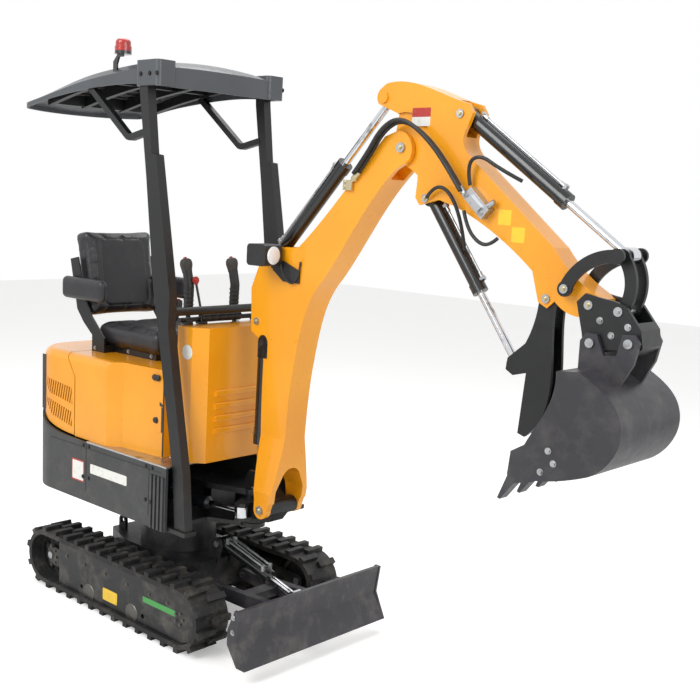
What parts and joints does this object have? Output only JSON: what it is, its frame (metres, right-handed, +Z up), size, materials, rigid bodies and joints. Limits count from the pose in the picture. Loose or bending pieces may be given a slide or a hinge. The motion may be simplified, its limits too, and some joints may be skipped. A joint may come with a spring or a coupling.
{
  "type": "mini excavator",
  "caption": "Small tracked digger with an open canopy seat, a slewing house, a dozer blade, and a swinging boom with arm, bucket and thumb.",
  "frame": {"origin": "on the ground, under the axis that the upper structure slews about", "axes": "+X forward towards the blade and boom, +Y to the operator's left, +Z up"},
  "size_m": [2.9431, 0.82, 2.3876],
  "materials": {
    "yellow_paint": "satin",
    "grey_paint": "satin",
    "black_paint": "satin",
    "bright_steel": "brushed",
    "dark_steel": "rough",
    "rod_chrome": "polished",
    "track_rubber": "matt",
    "seat_fabric": "matt",
    "roof_shell": "satin",
    "beacon_red": "gloss",
    "lamp_housing": "satin"
  },
  "bodies": {
    "undercarriage": {"car_body": "grey_paint", "slew_ring": "dark_steel", "track_frame_right": "grey_paint", "track_frame_left": "grey_paint", "track_right": "track_rubber", "track_left": "track_rubber", "drive_sprockets": "black_paint", "front_idlers": "black_paint", "bottom_rollers": "black_paint", "wheel_axles": "bright_steel", "car_body_pins": "bright_steel", "blade_pivot_pins": "bright_steel"},
    "blade": {"blade": "black_paint"},
    "blade_cylinder_barrel": {"blade_cylinder_barrel": "black_paint"},
    "blade_cylinder_rod": {"blade_cylinder_rod": "rod_chrome"},
    "house": {"slew_frame": "grey_paint", "swing_pins": "bright_steel", "skirt": "grey_paint", "body_panels": "yellow_paint", "engine_block": "dark_steel", "floor_deck": "grey_paint", "console": "yellow_paint", "seat_base": "black_paint", "seat_cushion": "seat_fabric", "seat_back": "seat_fabric", "armrests": "seat_fabric", "canopy_roof": "roof_shell", "canopy_posts": "black_paint", "canopy_frame": "black_paint", "canopy_stays": "black_paint", "beacon": "beacon_red", "control_levers": "black_paint"},
    "hood": {"rear_hood": "yellow_paint"},
    "swing_bracket": {"swing_bracket": "black_paint"},
    "swing_cylinder_barrel": {"swing_cylinder_barrel": "black_paint"},
    "swing_cylinder_rod": {"swing_cylinder_rod": "rod_chrome"},
    "boom": {"boom": "yellow_paint", "boom_pins": "bright_steel", "work_lamp": "lamp_housing"},
    "boom_cylinder_barrel": {"boom_cylinder_barrel": "black_paint"},
    "boom_cylinder_rod": {"boom_cylinder_rod": "rod_chrome"},
    "arm": {"arm": "yellow_paint", "arm_pins": "bright_steel"},
    "arm_cylinder_barrel": {"arm_cylinder_barrel": "black_paint"},
    "arm_cylinder_rod": {"arm_cylinder_rod": "rod_chrome"},
    "bucket": {"bucket": "black_paint", "quick_coupler": "black_paint", "coupler_pins": "bright_steel"},
    "idler_links": {"idler_links": "black_paint"},
    "coupler_links": {"coupler_links": "black_paint"},
    "bucket_cylinder_barrel": {"bucket_cylinder_barrel": "black_paint"},
    "bucket_cylinder_rod": {"bucket_cylinder_rod": "rod_chrome"},
    "thumb": {"thumb": "black_paint"},
    "thumb_cylinder_barrel": {"thumb_cylinder_barrel": "black_paint"},
    "thumb_cylinder_rod": {"thumb_cylinder_rod": "rod_chrome"}
  },
  "joints": [
    {"name": "blade_lift", "type": "hinge", "parent": "undercarriage", "child": "blade", "pos_m": [0.33, 0, 0.172], "axis": [0, -1, 0], "range_deg": [-22, 15]},
    {"name": "blade_barrel_turn", "type": "hinge", "parent": "undercarriage", "child": "blade_cylinder_barrel", "pos_m": [0.3, 0, 0.33], "axis": [0, -1, 0], "range_deg": [-19, 13]},
    {"name": "blade_rod_slide", "type": "slide", "parent": "blade_cylinder_barrel", "child": "blade_cylinder_rod", "axis": [0.9668, 0, -0.2556], "range_m": [-0.038, 0.055]},
    {"name": "slew", "type": "hinge", "parent": "undercarriage", "child": "house", "pos_m": [0, 0, 0.43], "axis": [0, 0, 1], "continuous": true},
    {"name": "hood_open", "type": "hinge", "parent": "house", "child": "hood", "pos_m": [-0.712, 0, 0.735], "axis": [0, -1, 0], "range_deg": [0, 70]},
    {"name": "boom_swing", "type": "hinge", "parent": "house", "child": "swing_bracket", "pos_m": [0.47, 0, 0.54], "axis": [0, 0, 1], "range_deg": [-60, 60]},
    {"name": "swing_barrel_turn", "type": "hinge", "parent": "house", "child": "swing_cylinder_barrel", "pos_m": [0, -0.19, 0.54], "axis": [0, 0, 1], "range_deg": [-2, 2]},
    {"name": "swing_rod_slide", "type": "slide", "parent": "swing_cylinder_barrel", "child": "swing_cylinder_rod", "axis": [0.9886, 0.1506, 0], "range_m": [-0.112, 0.112]},
    {"name": "boom_lift", "type": "hinge", "parent": "swing_bracket", "child": "boom", "pos_m": [0.61, 0, 0.567], "axis": [0, -1, 0], "range_deg": [-110, 6]},
    {"name": "boom_barrel_turn", "type": "hinge", "parent": "boom", "child": "boom_cylinder_barrel", "pos_m": [0.5, 0, 1.31], "axis": [0, -1, 0], "range_deg": [-0.5, 0.5]},
    {"name": "boom_rod_slide", "type": "slide", "parent": "boom_cylinder_barrel", "child": "boom_cylinder_rod", "axis": [-0.0077, 0, -1], "range_m": [-0.016, 0.26]},
    {"name": "arm_swing", "type": "hinge", "parent": "boom", "child": "arm", "pos_m": [1.166, 0, 1.981], "axis": [0, 1, 0], "range_deg": [-72, 35]},
    {"name": "arm_barrel_turn", "type": "hinge", "parent": "boom", "child": "arm_cylinder_barrel", "pos_m": [0.548, 0, 1.57], "axis": [0, 1, 0], "range_deg": [-1.2, 2.4]},
    {"name": "arm_rod_slide", "type": "slide", "parent": "arm_cylinder_barrel", "child": "arm_cylinder_rod", "axis": [0.669, 0, 0.7433], "range_m": [-0.228, 0.112]},
    {"name": "bucket_curl", "type": "hinge", "parent": "arm", "child": "bucket", "pos_m": [1.918, 0, 1.522], "axis": [0, 1, 0], "range_deg": [-115, 25]},
    {"name": "idler_turn", "type": "hinge", "parent": "arm", "child": "idler_links", "pos_m": [1.842, 0, 1.564], "axis": [0, 1, 0], "range_deg": [-71, 16]},
    {"name": "coupler_turn", "type": "hinge", "parent": "bucket", "child": "coupler_links", "pos_m": [2.015, 0, 1.512], "axis": [0, 1, 0], "range_deg": [-18, 81]},
    {"name": "bucket_barrel_turn", "type": "hinge", "parent": "arm", "child": "bucket_cylinder_barrel", "pos_m": [1.392, 0, 2.09], "axis": [0, 1, 0], "range_deg": [-0.5, 2]},
    {"name": "bucket_rod_slide", "type": "slide", "parent": "bucket_cylinder_barrel", "child": "bucket_cylinder_rod", "axis": [0.824, 0, -0.5665], "range_m": [-0.222, 0.05]},
    {"name": "thumb_fold", "type": "hinge", "parent": "arm", "child": "thumb", "pos_m": [1.765, 0, 1.525], "axis": [0, 1, 0], "range_deg": [-15, 50]},
    {"name": "thumb_barrel_turn", "type": "hinge", "parent": "arm", "child": "thumb_cylinder_barrel", "pos_m": [1.275, 0, 1.815], "axis": [0, 1, 0], "range_deg": [-1.3, 4]},
    {"name": "thumb_rod_slide", "type": "slide", "parent": "thumb_cylinder_barrel", "child": "thumb_cylinder_rod", "axis": [0.5937, 0, -0.8047], "range_m": [-0.211, 0.065]}
  ],
  "couplings": [
    {"joint": "blade_barrel_turn", "follows": "blade_lift", "ratio": 0.8304},
    {"joint": "blade_rod_slide", "follows": "blade_lift", "m_per_rad": -0.13896},
    {"joint": "swing_barrel_turn", "follows": "boom_swing", "ratio": 0.029},
    {"joint": "swing_rod_slide", "follows": "boom_swing", "m_per_rad": 0.10553},
    {"joint": "boom_barrel_turn", "follows": "boom_lift", "ratio": -0.0033},
    {"joint": "boom_rod_slide", "follows": "boom_lift", "m_per_rad": -0.1342},
    {"joint": "arm_barrel_turn", "follows": "arm_swing", "ratio": -0.0313},
    {"joint": "arm_rod_slide", "follows": "arm_swing", "m_per_rad": 0.18008},
    {"joint": "idler_turn", "follows": "bucket_curl", "ratio": 0.6055},
    {"joint": "coupler_turn", "follows": "bucket_curl", "ratio": -0.6956},
    {"joint": "bucket_barrel_turn", "follows": "bucket_curl", "ratio": -0.0152},
    {"joint": "bucket_rod_slide", "follows": "bucket_curl", "m_per_rad": 0.10979},
    {"joint": "thumb_barrel_turn", "follows": "thumb_fold", "ratio": 0.0768},
    {"joint": "thumb_rod_slide", "follows": "thumb_fold", "m_per_rad": -0.24028}
  ]
}
